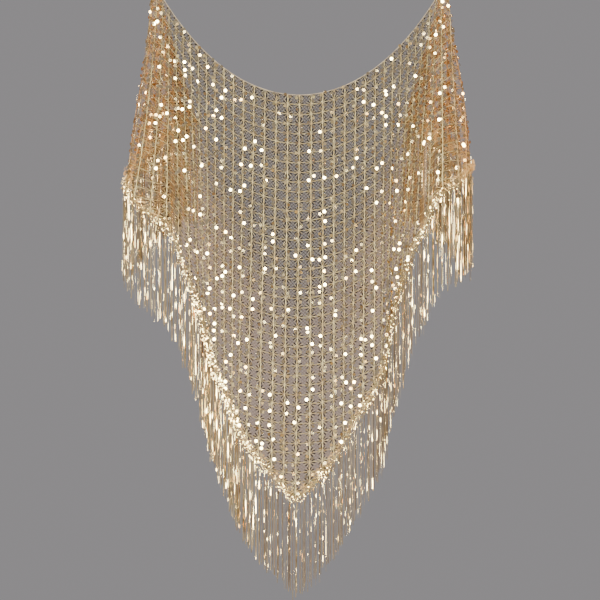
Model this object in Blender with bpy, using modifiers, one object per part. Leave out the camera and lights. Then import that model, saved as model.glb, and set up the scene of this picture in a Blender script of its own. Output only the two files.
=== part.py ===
"""Evening stole: a triangular shawl of sequinned net with a long fringe on its two short edges.

The shawl hangs by two gathered points of its long edge. Between them the long edge sags and the
point of the triangle hangs down in front. Both ends of the shawl fall behind, folded and pleated.
Metres, +Z up, the front faces -Y, and the origin is midway between the two held points.
"""
import math

import bmesh
import bpy
import numpy as np

# The flat cut: a right-angled triangle, whose long edge is twice its depth
HALF_EDGE = 0.750        # from the middle of the long edge to either end
HELD_AT = 0.3626         # from the middle of the long edge to either held point
SAG_RADIUS = 0.2026      # of the long edge at its lowest point, where it hangs as a chain does
APEX = 0.010             # the threads of a gathered point would meet this far above it
END = HALF_EDGE - HELD_AT    # the free length of the long edge beyond a held point
HALF_HEM = HALF_EDGE * math.sqrt(2.0)

# The cloth and its fringe
WALL = 0.0012            # net and sequins together
PARTING = 0.0008         # between the net's edge and the fringe's heading
HEADING = 0.005          # depth of the band that carries the fringe
STEEPEST = 5.0           # most that a steep stretch of hem lengthens the parting
FRINGE = 0.183           # from the net's edge to the strands' ends
FRONT_STRANDS = 48       # on each half of the front's hem, two for each column of the net
END_STRANDS = 42         # on each folded end
STRAND_WIDTH = 0.0026    # along the edge
STRAND_TIP = 0.75        # width at the end, as a share of the width at the root

# The gathers of a folded end
PINCH = 0.12             # size of a gathered point, as a share of the folds' widest
PINCH_SHIFT = 0.030      # how far in a gathered point lies, as a width at the folds' widest
PLEATS = 6               # in each folded end
PLEAT_ROUNDING = 0.07    # how far the pleats' flanks stand up, as a share of their spacing
PLEATS_START = 0.08      # share of the fall to where the folds are widest, where pleats begin
PLEATS_FULL = 0.50       # the same where they are at their full depth
PLEATS_CLEAR = 0.12      # share of the folds' length that stays plain next to the front

# Mesh density
FRONT_COLUMNS = 24       # on each half of the front
END_COLUMNS = 46         # on each folded end
ROWS = 13
PLAN_STEPS = 1200        # for measuring along a folded end's plan

# The hem of the front, as it hangs. Columns: distance along the long edge to the thread that
# ends here, distance out from the middle, distance back, and how far a fold lifts the hem.
FRONT_HEM = {
    "left": (
        (0.0000, 0.0080, 0.000, 0.000),
        (0.0460, 0.0555, -0.003, 0.000),
        (0.0925, 0.1036, -0.005, 0.000),
        (0.1370, 0.1295, -0.003, 0.000),
        (0.1850, 0.1620, 0.000, 0.000),
        (0.2180, 0.1767, 0.010, 0.002),
        (0.2480, 0.1933, 0.018, 0.008),
        (0.2700, 0.2137, 0.016, 0.020),
        (0.2960, 0.2396, 0.004, 0.046),
        (0.3256, 0.2794, -0.004, 0.022),
        (0.3480, 0.3100, 0.001, 0.007),
        (0.3626, 0.3247, 0.012, 0.000),
    ),
    "right": (
        (0.0000, -0.0080, 0.000, 0.000),
        (0.0390, 0.0380, -0.003, 0.000),
        (0.0710, 0.0685, -0.004, 0.000),
        (0.1110, 0.0990, -0.002, 0.000),
        (0.1610, 0.1450, -0.004, 0.000),
        (0.1940, 0.1605, 0.004, 0.000),
        (0.2240, 0.1695, 0.013, 0.000),
        (0.2450, 0.1800, 0.010, 0.000),
        (0.2640, 0.1885, 0.001, 0.000),
        (0.2870, 0.2000, -0.004, 0.000),
        (0.3050, 0.2140, 0.003, 0.002),
        (0.3180, 0.2310, 0.009, 0.009),
        (0.3350, 0.2480, 0.008, 0.026),
        (0.3500, 0.2720, 0.000, 0.022),
        (0.3626, 0.2923, 0.006, 0.007),
    ),
}
# The folds of each end, seen from above where they are widest. Columns: distance out, distance
# back. They follow on from the front and end at the long edge, which hangs at the very back.
END_PLAN = {
    "left": (
        (0.3060, 0.0180),
        (0.3000, 0.0320),
        (0.2840, 0.0410),
        (0.2560, 0.0450),
        (0.2230, 0.0490),
        (0.2030, 0.0730),
        (0.2230, 0.0970),
        (0.2600, 0.1040),
        (0.3000, 0.1010),
    ),
    "right": (
        (0.3000, 0.0110),
        (0.3045, 0.0220),
        (0.2980, 0.0340),
        (0.2820, 0.0415),
        (0.2560, 0.0450),
        (0.2230, 0.0490),
        (0.2030, 0.0730),
        (0.2230, 0.0970),
        (0.2600, 0.1040),
        (0.3000, 0.1010),
    ),
}
WIDEST = END / math.sqrt(2.0)    # fall from a held point to where the folds hang plumb
PLUMB_BLEND = 0.15       # share of that fall, before and after it, over which they turn plumb
END_SWELL = 1.15         # how the folds widen down to there: evenly at 1, and later the higher it is
HANG_TURN = 0.20         # angle round a held point over which the front gives way to the folds

# How the front's threads swing out on their way down, in the middle and at the held points
FRONT_SWING = {"left": (1.25, 1.6), "right": (1.25, 1.1)}
SWING_BLEND = (0.25, 0.11)   # where along the edge the one gives way to the other, and over what
# The corner of each folded end stands out. Columns: distance, how late on the way down
CORNER = {"left": (0.0230, 2.0), "right": (0.0265, 4.0)}
CORNER_TURN = (1.22, 0.35)   # angle round the held point where the corner starts, and over what
SIDES = {"left": -1.0, "right": 1.0}

COLOURS = {
    "net": (0.62, 0.45, 0.25),
    "fringe": (0.72, 0.58, 0.38),
}


def ease(value):
    """From 0 to 1 with a soft start and stop"""
    value = np.clip(value, 0.0, 1.0)
    return value * value * (3.0 - 2.0 * value)


def smooth(at, knots, values):
    """A smooth curve through the values at the knots, read at the given places"""
    slopes = np.gradient(values, knots)
    low = np.clip(np.searchsorted(knots, at) - 1, 0, len(knots) - 2)
    step = knots[low + 1] - knots[low]
    part = (at - knots[low]) / step
    rest = 1.0 - part
    start = values[low] * (1.0 + 2.0 * part) + slopes[low] * step * part
    finish = values[low + 1] * (1.0 + 2.0 * rest) - slopes[low + 1] * step * rest
    return start * rest ** 2 + finish * part ** 2


def lengths(points):
    """The distance along a line of points to each of them"""
    steps = np.linalg.norm(np.diff(points, axis=0), axis=1)
    return np.concatenate([[0.0], np.cumsum(steps)])


def pleated(base, depth):
    """A folded end's plan with pleats of the given depth laid along it"""
    run = lengths(base) / lengths(base)[-1]
    spacing = lengths(base)[-1] / PLEATS
    along = np.gradient(base, axis=0)
    along /= np.linalg.norm(along, axis=1)[:, None]
    across = np.stack([-along[:, 1], along[:, 0]], axis=1)
    turn = 2.0 * math.pi * (PLEATS * run + 0.12 * np.sin(4.0 * math.pi * run))
    start = ease(run / PLEATS_CLEAR)
    sideways = depth * start * (0.85 + 0.15 * np.sin(3.0 + 9.0 * run)) * np.sin(turn)
    lengthways = PLEAT_ROUNDING * spacing * start * np.sin(2.0 * turn)
    return base + across * sideways[:, None] - along * lengthways[:, None]


def long_edge(along):
    """Distance out and height of the long edge, which hangs like a chain between its held points"""
    rise = math.hypot(SAG_RADIUS, HELD_AT) - SAG_RADIUS
    out = SAG_RADIUS * np.arcsinh(along / SAG_RADIUS)
    return out, APEX - rise + np.hypot(SAG_RADIUS, along) - SAG_RADIUS


def end_plan(side):
    """The plan of a folded end: angle round the held point, then plain and pleated places"""
    out, _ = long_edge(HELD_AT)
    share = (WIDEST / END) ** FRONT_SWING[side][1]
    _, last_out, last_back, _ = FRONT_HEM[side][-1]
    first = (out + (last_out - out) * share, last_back * share)
    rows = np.array((first,) + END_PLAN[side])
    knots = lengths(rows)
    places = np.linspace(0.0, knots[-1], PLAN_STEPS)
    base = np.stack([smooth(places, knots, rows[:, i]) for i in (0, 1)], axis=1)
    needed = WIDEST * math.pi / 2.0
    shallow, deep = 0.0, 0.03
    for _ in range(40):
        depth = 0.5 * (shallow + deep)
        if lengths(pleated(base, depth))[-1] < needed:
            shallow = depth
        else:
            deep = depth
    full = pleated(base, depth)
    swing = lengths(full) / lengths(full)[-1] * math.pi / 2.0
    return swing, base, full


PLANS = {side: end_plan(side) for side in SIDES}


def widened(fall):
    """How wide the folds are, for shares of the fall to where they hang plumb"""
    turned = np.clip(fall - 1.0 + PLUMB_BLEND, 0.0, 2.0 * PLUMB_BLEND)
    return np.minimum(fall, 1.0 + PLUMB_BLEND) - turned ** 2 / (4.0 * PLUMB_BLEND)


def threads(hem):
    """For distances along the flat hem from the triangle's point: the distance along the long edge
    of the thread that ends there, the angle round the held point, and the fall to the hem"""
    across = np.asarray(hem, float) / math.sqrt(2.0)
    along = np.minimum(across, HELD_AT)
    past = np.maximum(across - HELD_AT, 0.0)
    swing = np.arctan2(past, END - past)
    fall = np.where(past > 0.0, END / (np.cos(swing) + np.sin(swing)), HALF_EDGE - along)
    return along, swing, fall


def hang(side, hem, share, beyond=0.0):
    """Where the cloth hangs, for distances along the flat hem from the triangle's point, shares
    of the fall from the long edge to the hem, and a length past the hem"""
    along, swing, fall = threads(hem)
    share = share + beyond / fall
    run = share * fall
    front = swing <= 0.0

    rows = np.array(FRONT_HEM[side]).T
    turns, plain, folded = PLANS[side]
    out, back, lift = (smooth(along, rows[0], column) for column in rows[1:])
    plain_out, plain_back = (np.interp(swing, turns, plain[:, i]) for i in (0, 1))
    pleat_out, pleat_back = (np.interp(swing, turns, (folded - plain)[:, i]) for i in (0, 1))
    out = np.where(front, out, plain_out)
    back = np.where(front, back, plain_back)

    start, width = SWING_BLEND
    middle, held = FRONT_SWING[side]
    widening = widened(run / WIDEST)
    folding = ease(swing / HANG_TURN)
    near_front = share ** (middle + (held - middle) * ease((along - start) / width))
    near_fold = (run / WIDEST) ** held
    swell = np.where(front, near_front, near_fold + (widening ** END_SWELL - near_fold) * folding)
    pinched = PINCH * ease((along - HELD_AT + 0.05) / 0.05) * (1.0 - widening)
    spread = swell + pinched * np.where(front, (WIDEST / END) ** held, 1.0)
    pleats = ease((widening - PLEATS_START) / (PLEATS_FULL - PLEATS_START)) * spread

    top_out, top = long_edge(along)
    moved = np.hypot(out - top_out, back) * swell
    drop = np.sqrt(np.maximum(run ** 2 - moved ** 2, 0.0))
    reach, late = CORNER[side]
    start, width = CORNER_TURN
    corner = reach * ease((swing - start) / width) * np.clip(run / END, 0.0, 1.0) ** (4.0 * late)
    x = top_out + (out - top_out) * spread + pleat_out * pleats + corner - pinched * PINCH_SHIFT
    y = back * spread + pleat_back * pleats
    z = top - drop + lift * share ** 2 * (1.0 - folding)
    return np.stack([SIDES[side] * x, y, z], axis=-1)


def first_share(hem):
    """The share of the fall where the net starts: at the long edge, or just below a held point"""
    along, _, fall = threads(hem)
    return APEX * ease((along - HELD_AT + 0.025) / 0.025) / fall


def material(name, colour, metallic, roughness):
    """A plain finish"""
    finish = bpy.data.materials.new(name)
    finish.use_nodes = True
    shader = finish.node_tree.nodes["Principled BSDF"]
    shader.inputs["Base Color"].default_value = (*colour, 1.0)
    shader.inputs["Metallic"].default_value = metallic
    shader.inputs["Roughness"].default_value = roughness
    return finish


def finish_object(name, bm, finish, collection):
    """Makes a named object of the mesh, with its finish"""
    mesh = bpy.data.meshes.new(name)
    bm.to_mesh(mesh)
    bm.free()
    mesh.materials.append(finish)
    made = bpy.data.objects.new(name, mesh)
    collection.objects.link(made)
    return made


def columns_of_half():
    """Distances along the flat hem to the columns of one half of the net, from its point"""
    corner = HELD_AT * math.sqrt(2.0)
    front = np.linspace(0.0, corner, FRONT_COLUMNS + 1)
    end = np.linspace(corner, HALF_HEM, END_COLUMNS + 1)
    return np.concatenate([front, end[1:]])


def make_net(collection):
    """The sequinned net: one wall from the left end round the front to the right end"""
    half = columns_of_half()
    count = len(half) - 1
    bm = bmesh.new()
    bmesh.ops.create_grid(bm, x_segments=2 * count, y_segments=ROWS, size=1.0)
    for vert in bm.verts:
        column = round(vert.co.x * count)
        side = "left" if column < 0 else "right"
        hem = half[abs(column)]
        least = first_share(hem)
        share = least + (1.0 - least) * (1.0 - vert.co.y) / 2.0
        point = hang(side, hem, share)
        if column == 0:
            point = 0.5 * (point + hang("left", hem, share))
        vert.co = point
    net = finish_object("net", bm, material("sequinned net", COLOURS["net"], 0.6, 0.35), collection)
    wall = net.modifiers.new("wall", "SOLIDIFY")
    wall.thickness = WALL
    wall.offset = 0.0
    return net


def below_hem(side, hem, parting, depth):
    """A place below the net's hem, which runs straight from column to column: past a parting that
    is measured square to the hem, and then down by a depth"""
    half = columns_of_half()
    low = min(int(np.searchsorted(half, hem, side="right")) - 1, len(half) - 2)
    part = (hem - half[low]) / (half[low + 1] - half[low])
    run = hang(side, half[low + 1], 1.0) - hang(side, half[low], 1.0)
    steep = min(np.linalg.norm(run) / np.linalg.norm(run[:2]), STEEPEST)
    first, last = (hang(side, half[column], 1.0, parting * steep + depth) for column in (low, low + 1))
    return first + (last - first) * part


def make_fringe(side, collection):
    """A heading just off the net's edge, with strands drawn down from its lower face"""
    corner = HELD_AT * math.sqrt(2.0)
    front = (np.arange(FRONT_STRANDS) + 0.5) * corner / FRONT_STRANDS
    end = corner + (np.arange(END_STRANDS) + 0.5) * (HALF_HEM - corner) / END_STRANDS
    starts = np.concatenate([front, end]) - STRAND_WIDTH / 2.0
    between = columns_of_half()[1:FRONT_COLUMNS + 1]
    stations = np.sort(np.concatenate([starts, starts + STRAND_WIDTH, between]))
    bm = bmesh.new()
    bmesh.ops.create_grid(bm, x_segments=len(stations) - 1, y_segments=1, size=1.0)
    places = {vert: round((vert.co.x + 1.0) / 2.0 * (len(stations) - 1)) for vert in bm.verts}
    lower = {vert for vert in bm.verts if vert.co.y < 0.0}
    for vert, place in places.items():
        vert.co = below_hem(side, stations[place], PARTING, HEADING if vert in lower else 0.0)
    rooted = set(np.searchsorted(stations, starts))
    edges = [edge for edge in bm.edges if lower.issuperset(edge.verts)]
    edges = [edge for edge in edges if min(places[vert] for vert in edge.verts) in rooted]
    bm.normal_update()
    shift = {vert: vert.normal * WALL / 2.0 for vert in bm.verts}
    for vert, move in shift.items():
        vert.co += move
    heading = set(bm.faces)
    bmesh.ops.solidify(bm, geom=bm.faces[:], thickness=WALL)
    roots = [face for edge in edges for face in edge.link_faces if face not in heading]
    for face in roots:
        end = face.calc_center_median().z - (FRINGE - HEADING)
        grown = face
        for share in (0.5, 1.0):
            grown = bmesh.ops.extrude_discrete_faces(bm, faces=[grown])["faces"][0]
            centre = grown.calc_center_median()
            width = STRAND_TIP ** 0.5
            for vert in grown.verts:
                level = vert.co.z if share < 1.0 else centre.z
                vert.co = centre + (vert.co - centre) * width
                vert.co.z = level - (FRINGE - HEADING) * 0.5 if share < 1.0 else end
    bmesh.ops.recalc_face_normals(bm, faces=bm.faces[:])
    finish = material("fringe " + side, COLOURS["fringe"], 0.8, 0.3)
    return finish_object("fringe_" + side, bm, finish, collection)


def main():
    """Builds the shawl"""
    for old in list(bpy.data.objects):
        bpy.data.objects.remove(old, do_unlink=True)
    collection = bpy.data.collections.new("evening_stole")
    bpy.context.scene.collection.children.link(collection)
    make_net(collection)
    for side in SIDES:
        make_fringe(side, collection)


main()
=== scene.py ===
"""A triangular evening shawl of gold sequinned net with a long metallic fringe, hung by two gathered
points of its long edge. Everything on the net is first laid out on the flat cut, and then draped."""

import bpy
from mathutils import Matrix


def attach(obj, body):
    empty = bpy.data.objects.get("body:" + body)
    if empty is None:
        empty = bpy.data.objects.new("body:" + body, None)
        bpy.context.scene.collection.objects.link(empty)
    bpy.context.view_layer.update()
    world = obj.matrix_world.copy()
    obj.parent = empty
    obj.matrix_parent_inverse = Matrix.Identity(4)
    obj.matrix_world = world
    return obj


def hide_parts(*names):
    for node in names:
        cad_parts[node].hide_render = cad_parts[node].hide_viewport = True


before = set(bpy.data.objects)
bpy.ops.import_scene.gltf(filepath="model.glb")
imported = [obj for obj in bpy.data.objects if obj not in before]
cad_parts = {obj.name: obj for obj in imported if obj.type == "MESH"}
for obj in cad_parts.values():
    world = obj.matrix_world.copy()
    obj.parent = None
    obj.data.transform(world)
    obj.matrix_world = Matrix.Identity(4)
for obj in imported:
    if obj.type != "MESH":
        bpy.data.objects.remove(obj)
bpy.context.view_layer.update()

import math

import bpy
import numpy as np
from mathutils import Vector

# The flat cut and the way it hangs, as in the solids
HALF_EDGE = 0.750
HELD_AT = 0.3626
SAG_RADIUS = 0.2026
APEX = 0.010
END = HALF_EDGE - HELD_AT
HALF_HEM = HALF_EDGE * math.sqrt(2.0)
FRINGE = 0.190           # from the net's edge to the strands' ends
PINCH = 0.12
PINCH_SHIFT = 0.030
PLEATS = 6
PLEAT_ROUNDING = 0.07
PLEATS_START = 0.08
PLEATS_FULL = 0.50
PLEATS_CLEAR = 0.12
PLAN_STEPS = 1200
WIDEST = END / math.sqrt(2.0)
PLUMB_BLEND = 0.15
END_SWELL = 1.15
HANG_TURN = 0.20
FRONT_SWING = {"left": (1.25, 1.6), "right": (1.25, 1.1)}
SWING_BLEND = (0.25, 0.11)
CORNER = {"left": (0.0230, 2.0), "right": (0.0265, 4.0)}
CORNER_TURN = (1.22, 0.35)
SIDES = {"left": -1.0, "right": 1.0}

# The hem of the front. Columns: distance along the long edge to the thread that ends here,
# distance out from the middle, distance back, and how far a fold lifts the hem.
FRONT_HEM = {
    "left": (
        (0.0000, 0.0080, 0.000, 0.000),
        (0.0460, 0.0555, -0.003, 0.000),
        (0.0925, 0.1036, -0.005, 0.000),
        (0.1370, 0.1295, -0.003, 0.000),
        (0.1850, 0.1620, 0.000, 0.000),
        (0.2180, 0.1767, 0.010, 0.002),
        (0.2480, 0.1933, 0.018, 0.008),
        (0.2700, 0.2137, 0.016, 0.020),
        (0.2960, 0.2396, 0.004, 0.046),
        (0.3256, 0.2794, -0.004, 0.022),
        (0.3480, 0.3100, 0.001, 0.007),
        (0.3626, 0.3247, 0.012, 0.000),
    ),
    "right": (
        (0.0000, -0.0080, 0.000, 0.000),
        (0.0390, 0.0380, -0.003, 0.000),
        (0.0710, 0.0685, -0.004, 0.000),
        (0.1110, 0.0990, -0.002, 0.000),
        (0.1610, 0.1450, -0.004, 0.000),
        (0.1940, 0.1605, 0.004, 0.000),
        (0.2240, 0.1695, 0.013, 0.000),
        (0.2450, 0.1800, 0.010, 0.000),
        (0.2640, 0.1885, 0.001, 0.000),
        (0.2870, 0.2000, -0.004, 0.000),
        (0.3050, 0.2140, 0.003, 0.002),
        (0.3180, 0.2310, 0.009, 0.009),
        (0.3350, 0.2480, 0.008, 0.026),
        (0.3500, 0.2720, 0.000, 0.022),
        (0.3626, 0.2923, 0.006, 0.007),
    ),
}
# The plan of each folded end. Columns: distance out from the middle, distance back.
END_PLAN = {
    "left": (
        (0.3060, 0.0180),
        (0.3000, 0.0320),
        (0.2840, 0.0410),
        (0.2560, 0.0450),
        (0.2230, 0.0490),
        (0.2030, 0.0730),
        (0.2230, 0.0970),
        (0.2600, 0.1040),
        (0.3000, 0.1010),
    ),
    "right": (
        (0.3000, 0.0110),
        (0.3045, 0.0220),
        (0.2980, 0.0340),
        (0.2820, 0.0415),
        (0.2560, 0.0450),
        (0.2230, 0.0490),
        (0.2030, 0.0730),
        (0.2230, 0.0970),
        (0.2600, 0.1040),
        (0.3000, 0.1010),
    ),
}

# Soft creases of the front. Columns: distance across from the middle, distances down from the edge
# to the crease's two ends, its half width, and how far it stands out.
CREASES = (
    (-0.335, 0.06, 0.34, 0.014, 0.005),
    (-0.282, 0.03, 0.40, 0.015, -0.006),
    (-0.232, 0.08, 0.46, 0.016, 0.006),
    (-0.176, 0.05, 0.52, 0.017, -0.005),
    (-0.128, 0.16, 0.58, 0.015, 0.005),
    (-0.070, 0.10, 0.50, 0.018, -0.003),
    (-0.026, 0.26, 0.68, 0.014, 0.005),
    (0.022, 0.18, 0.62, 0.015, -0.004),
    (0.074, 0.30, 0.62, 0.015, 0.005),
    (0.120, 0.06, 0.48, 0.017, -0.005),
    (0.165, 0.12, 0.52, 0.015, 0.006),
    (0.214, 0.04, 0.46, 0.015, -0.006),
    (0.262, 0.08, 0.42, 0.014, 0.006),
    (0.312, 0.05, 0.36, 0.015, -0.005),
)
CREASE_END = 0.09        # over which a crease fades out

# The shell that carries everything
FRONT_COLUMNS = 60
END_COLUMNS = 96
ROWS = 80

# The net and its sequins
CELL_ACROSS = 0.0216
CELL_DOWN = 0.0179
UPRIGHT_SIZE = (0.00082, 0.0006)    # half its width, half its thickness
LEVEL_SIZE = (0.00052, 0.0006)
SPOKES = 9               # of each colour, round a crossing
PALE_SPOKE = (0.0010, 0.0090, 0.00034)      # from the crossing to its two ends, and half its width
DARK_SPOKE = (0.0028, 0.0084, 0.00091)
SEQUIN = 0.0030          # radius
SEQUINS_A_CELL = 2

CALM_SEQUINS = (-0.225, 0.40, 0.15)     # where sequins lie flatter: a place of the flat cut, and its radius

# Distances across the flat cut between which the folded ends start, the same for what is dark,
# and distances back between which their outermost folds start
END_STARTS = (0.352, 0.392)
DARK_ENDS = (0.285, 0.350)
OUTER_FOLDS = (0.088, 0.102)
HEM_BAND = (0.032, 0.012)   # how far from the hem its ruffled band fades out, measured level

# The fringe
STRANDS_TURNED = {"left": 0.40, "right": 0.46}     # how far a strand's first turn is from the front, in half turns
HEM_LEAN = {"left": 0.10, "right": 0.16}    # how far the bits of foil along the hem lean
KNOT_SPACING = (0.0090, 0.0105)     # along the hem of the front, and of the folded ends
STRANDS_A_KNOT = 5
STRAND_SIZE = (0.00072, 0.00012)    # half its width, half its thickness
SEEN_FRINGE = (0.225, 0.262)        # distances out beyond which the fringe of the ends is in plain view
# Distances out between which the fringe of the front faces the viewer more
LIVELY = {"left": (0.060, 0.090, 0.215, 0.235), "right": (0.060, 0.070, 0.080, 0.090)}
LIVELY_SHARE = {"left": 1.0, "right": 0.3}
ENDS_LIVELY = {"left": 0.68, "right": 1.35}
WORN = (0.185, 0.128, 0.112)           # the colour of its worn stretches


def ease(value):
    """From 0 to 1 with a soft start and stop"""
    value = np.clip(value, 0.0, 1.0)
    return value * value * (3.0 - 2.0 * value)


def smooth(at, knots, values):
    """A smooth curve through the values at the knots, read at the given places"""
    slopes = np.gradient(values, knots)
    low = np.clip(np.searchsorted(knots, at) - 1, 0, len(knots) - 2)
    step = knots[low + 1] - knots[low]
    part = (at - knots[low]) / step
    rest = 1.0 - part
    start = values[low] * (1.0 + 2.0 * part) + slopes[low] * step * part
    finish = values[low + 1] * (1.0 + 2.0 * rest) - slopes[low + 1] * step * rest
    return start * rest ** 2 + finish * part ** 2


def lengths(points):
    """The distance along a line of points to each of them"""
    steps = np.linalg.norm(np.diff(points, axis=0), axis=1)
    return np.concatenate([[0.0], np.cumsum(steps)])


def pleated(base, depth):
    """A folded end's plan with pleats of the given depth laid along it"""
    run = lengths(base) / lengths(base)[-1]
    spacing = lengths(base)[-1] / PLEATS
    along = np.gradient(base, axis=0)
    along /= np.linalg.norm(along, axis=1)[:, None]
    across = np.stack([-along[:, 1], along[:, 0]], axis=1)
    turn = 2.0 * math.pi * (PLEATS * run + 0.12 * np.sin(4.0 * math.pi * run))
    start = ease(run / PLEATS_CLEAR)
    sideways = depth * start * (0.85 + 0.15 * np.sin(3.0 + 9.0 * run)) * np.sin(turn)
    lengthways = PLEAT_ROUNDING * spacing * start * np.sin(2.0 * turn)
    return base + across * sideways[:, None] - along * lengthways[:, None]


def long_edge(along):
    """Distance out and height of the long edge, which hangs like a chain between its held points"""
    rise = math.hypot(SAG_RADIUS, HELD_AT) - SAG_RADIUS
    out = SAG_RADIUS * np.arcsinh(along / SAG_RADIUS)
    return out, APEX - rise + np.hypot(SAG_RADIUS, along) - SAG_RADIUS


def end_plan(side):
    """The plan of a folded end: angle round the held point, then plain and pleated places"""
    out, _ = long_edge(HELD_AT)
    share = (WIDEST / END) ** FRONT_SWING[side][1]
    _, last_out, last_back, _ = FRONT_HEM[side][-1]
    first = (out + (last_out - out) * share, last_back * share)
    rows = np.array((first,) + END_PLAN[side])
    knots = lengths(rows)
    places = np.linspace(0.0, knots[-1], PLAN_STEPS)
    base = np.stack([smooth(places, knots, rows[:, i]) for i in (0, 1)], axis=1)
    needed = WIDEST * math.pi / 2.0
    shallow, deep = 0.0, 0.03
    for _ in range(40):
        depth = 0.5 * (shallow + deep)
        if lengths(pleated(base, depth))[-1] < needed:
            shallow = depth
        else:
            deep = depth
    full = pleated(base, depth)
    swing = lengths(full) / lengths(full)[-1] * math.pi / 2.0
    return swing, base, full


PLANS = {side: end_plan(side) for side in SIDES}


def widened(fall):
    """How wide the folds are, for shares of the fall to where they hang plumb"""
    turned = np.clip(fall - 1.0 + PLUMB_BLEND, 0.0, 2.0 * PLUMB_BLEND)
    return np.minimum(fall, 1.0 + PLUMB_BLEND) - turned ** 2 / (4.0 * PLUMB_BLEND)


def threads(hem):
    """For distances along the flat hem from the triangle's point: the distance along the long edge
    of the thread that ends there, the angle round the held point, and the fall to the hem"""
    across = np.asarray(hem, float) / math.sqrt(2.0)
    along = np.minimum(across, HELD_AT)
    past = np.maximum(across - HELD_AT, 0.0)
    swing = np.arctan2(past, END - past)
    fall = np.where(past > 0.0, END / (np.cos(swing) + np.sin(swing)), HALF_EDGE - along)
    return along, swing, fall


def hang(side, hem, share):
    """Where the cloth hangs, for distances along the flat hem from the triangle's point and shares
    of the fall from the long edge to the hem"""
    along, swing, fall = threads(hem)
    run = share * fall
    front = swing <= 0.0

    rows = np.array(FRONT_HEM[side]).T
    turns, plain, folded = PLANS[side]
    out, back, lift = (smooth(along, rows[0], column) for column in rows[1:])
    plain_out, plain_back = (np.interp(swing, turns, plain[:, i]) for i in (0, 1))
    pleat_out, pleat_back = (np.interp(swing, turns, (folded - plain)[:, i]) for i in (0, 1))
    out = np.where(front, out, plain_out)
    back = np.where(front, back, plain_back)

    start, width = SWING_BLEND
    middle, held = FRONT_SWING[side]
    widening = widened(run / WIDEST)
    folding = ease(swing / HANG_TURN)
    near_front = share ** (middle + (held - middle) * ease((along - start) / width))
    near_fold = (run / WIDEST) ** held
    swell = np.where(front, near_front, near_fold + (widening ** END_SWELL - near_fold) * folding)
    pinched = PINCH * ease((along - HELD_AT + 0.05) / 0.05) * (1.0 - widening)
    spread = swell + pinched * np.where(front, (WIDEST / END) ** held, 1.0)
    pleats = ease((widening - PLEATS_START) / (PLEATS_FULL - PLEATS_START)) * spread

    top_out, top = long_edge(along)
    moved = np.hypot(out - top_out, back) * swell
    drop = np.sqrt(np.maximum(run ** 2 - moved ** 2, 0.0))
    reach, late = CORNER[side]
    start, width = CORNER_TURN
    corner = reach * ease((swing - start) / width) * np.clip(run / END, 0.0, 1.0) ** (4.0 * late)
    x = top_out + (out - top_out) * spread + pleat_out * pleats + corner - pinched * PINCH_SHIFT
    y = back * spread + pleat_back * pleats
    z = top - drop + lift * share ** 2 * (1.0 - folding)
    return np.stack([SIDES[side] * x, y, z], axis=-1)


def first_share(hem):
    """The share of the fall where the net starts: at the long edge, or just below a held point"""
    along, _, fall = threads(hem)
    return APEX * ease((along - HELD_AT + 0.025) / 0.025) / fall


def flat_place(hem, share):
    """Where a place of the drape lies on the flat cut: across from the middle, down from the edge"""
    across = hem / math.sqrt(2.0)
    past = np.maximum(across - HELD_AT, 0.0)
    in_front = across <= HELD_AT
    return (
        np.where(in_front, across, HELD_AT + share * past),
        np.where(in_front, share * (HALF_EDGE - across), share * (END - past)),
    )


def crease(across, down):
    """How far creases move the cloth towards the viewer, at places of the flat cut"""
    moved = np.zeros_like(across)
    for middle, top, bottom, width, depth in CREASES:
        length = ease((down - top) / CREASE_END) * ease((bottom - down) / CREASE_END)
        moved += depth * length * np.exp(-((across - middle) / width) ** 2)
    return moved


def put(tree, kind, inputs=None, **settings):
    """Adds a node with its settings, and gives its inputs values or links"""
    node = tree.nodes.new(kind)
    for name, value in settings.items():
        setattr(node, name, value)
    for key, value in (inputs or {}).items():
        if isinstance(value, bpy.types.NodeSocket):
            tree.links.new(value, node.inputs[key])
        else:
            node.inputs[key].default_value = value
    return node


def sum_of(tree, operation, first, second=0.0, third=0.0):
    """One step of arithmetic"""
    values = {0: first, 1: second, 2: third}
    return put(tree, "ShaderNodeMath", values, operation=operation).outputs[0]


def vector_sum(tree, operation, first, second):
    """One step of arithmetic on vectors"""
    return put(tree, "ShaderNodeVectorMath", {0: first, 1: second}, operation=operation).outputs[0]


def scaled(tree, vector, amount):
    """A vector times a number"""
    inputs = {"Vector": vector, "Scale": amount}
    return put(tree, "ShaderNodeVectorMath", inputs, operation="SCALE").outputs[0]


def random_between(tree, low, high, seed):
    """A number drawn for each element"""
    inputs = {2: low, 3: high, "Seed": seed}
    return put(tree, "FunctionNodeRandomValue", inputs, data_type="FLOAT").outputs[1]


def joined_vector(tree, x=0.0, y=0.0, z=0.0):
    """A vector of three numbers"""
    return put(tree, "ShaderNodeCombineXYZ", {"X": x, "Y": y, "Z": z}).outputs[0]


def named(tree, name, data_type="FLOAT_VECTOR"):
    """A named attribute of the geometry"""
    inputs = {"Name": name}
    return put(tree, "GeometryNodeInputNamedAttribute", inputs, data_type=data_type).outputs[0]


def new_tree(name, sockets):
    """A Geometry Nodes tree with named inputs, each a name, a kind and a value"""
    tree = bpy.data.node_groups.new(name, "GeometryNodeTree")
    tree.interface.new_socket("Geometry", in_out="OUTPUT", socket_type="NodeSocketGeometry")
    for label, kind, value in sockets:
        made = tree.interface.new_socket(label, in_out="INPUT", socket_type="NodeSocket" + kind)
        if value is not None:
            made.default_value = value
    return tree, tree.nodes.new("NodeGroupInput"), tree.nodes.new("NodeGroupOutput")


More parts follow.
